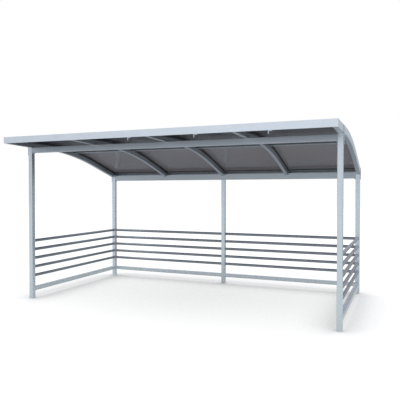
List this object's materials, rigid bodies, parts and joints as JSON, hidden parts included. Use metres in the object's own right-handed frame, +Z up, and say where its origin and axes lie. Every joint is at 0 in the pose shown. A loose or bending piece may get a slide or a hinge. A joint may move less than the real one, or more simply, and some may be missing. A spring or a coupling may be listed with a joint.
{
  "type": "bike shelter",
  "caption": "Open bike shelter: galvanised square-tube frame with round rails on the sides and back, under a curved roof of smoked sheet.",
  "frame": {"origin": "on the ground under the middle of the whole shelter", "axes": "+X to the right along the open front, +Y towards the back, +Z up"},
  "size_m": [4.276, 2.712, 2.218],
  "materials": {
    "galvanised_tube": "hot-dip galvanised, matt with faint spangle",
    "dull_tube": "hot-dip galvanised, weathered to a dull grey",
    "bright_tube": "galvanised round tube, dark and semi-bright",
    "folded_galvanised_sheet": "folded galvanised sheet with spangle",
    "glazing_bar_metal": "mill-finish extrusion",
    "smoked_sheet": "glossy smoked brown-grey",
    "rubber_seal": "matt black"
  },
  "bodies": {
    "root": {"front_left_post": "galvanised_tube", "front_right_post": "galvanised_tube", "rear_left_post": "galvanised_tube", "rear_middle_post": "galvanised_tube", "rear_right_post": "galvanised_tube", "front_beam": "dull_tube", "rear_beam": "dull_tube", "front_beam_cleats": "dull_tube", "rear_beam_cleats": "dull_tube", "left_end_rafter": "dull_tube", "left_rafter": "dull_tube", "middle_rafter": "dull_tube", "right_rafter": "dull_tube", "right_end_rafter": "dull_tube", "left_end_glazing_bar": "glazing_bar_metal", "left_glazing_bar": "glazing_bar_metal", "middle_glazing_bar": "glazing_bar_metal", "right_glazing_bar": "glazing_bar_metal", "right_end_glazing_bar": "glazing_bar_metal", "rear_cross_bars": "glazing_bar_metal", "glazing_gaskets": "rubber_seal", "left_roof_sheet": "smoked_sheet", "middle_left_roof_sheet": "smoked_sheet", "middle_right_roof_sheet": "smoked_sheet", "right_roof_sheet": "smoked_sheet", "left_cover_bar": "glazing_bar_metal", "middle_cover_bar": "glazing_bar_metal", "right_cover_bar": "glazing_bar_metal", "left_edge_trim": "folded_galvanised_sheet", "right_edge_trim": "folded_galvanised_sheet", "front_fascia": "folded_galvanised_sheet", "rear_edge_strip": "folded_galvanised_sheet", "front_left_head_plate": "dull_tube", "front_right_head_plate": "dull_tube", "rear_left_head_plate": "dull_tube", "rear_right_head_plate": "dull_tube", "left_side_rails": "bright_tube", "right_side_rails": "bright_tube", "rear_left_rails": "bright_tube", "rear_right_rails": "bright_tube", "left_bottom_rail": "galvanised_tube", "right_bottom_rail": "galvanised_tube", "rear_left_bottom_rail": "galvanised_tube", "rear_right_bottom_rail": "galvanised_tube"}
  },
  "joints": []
}
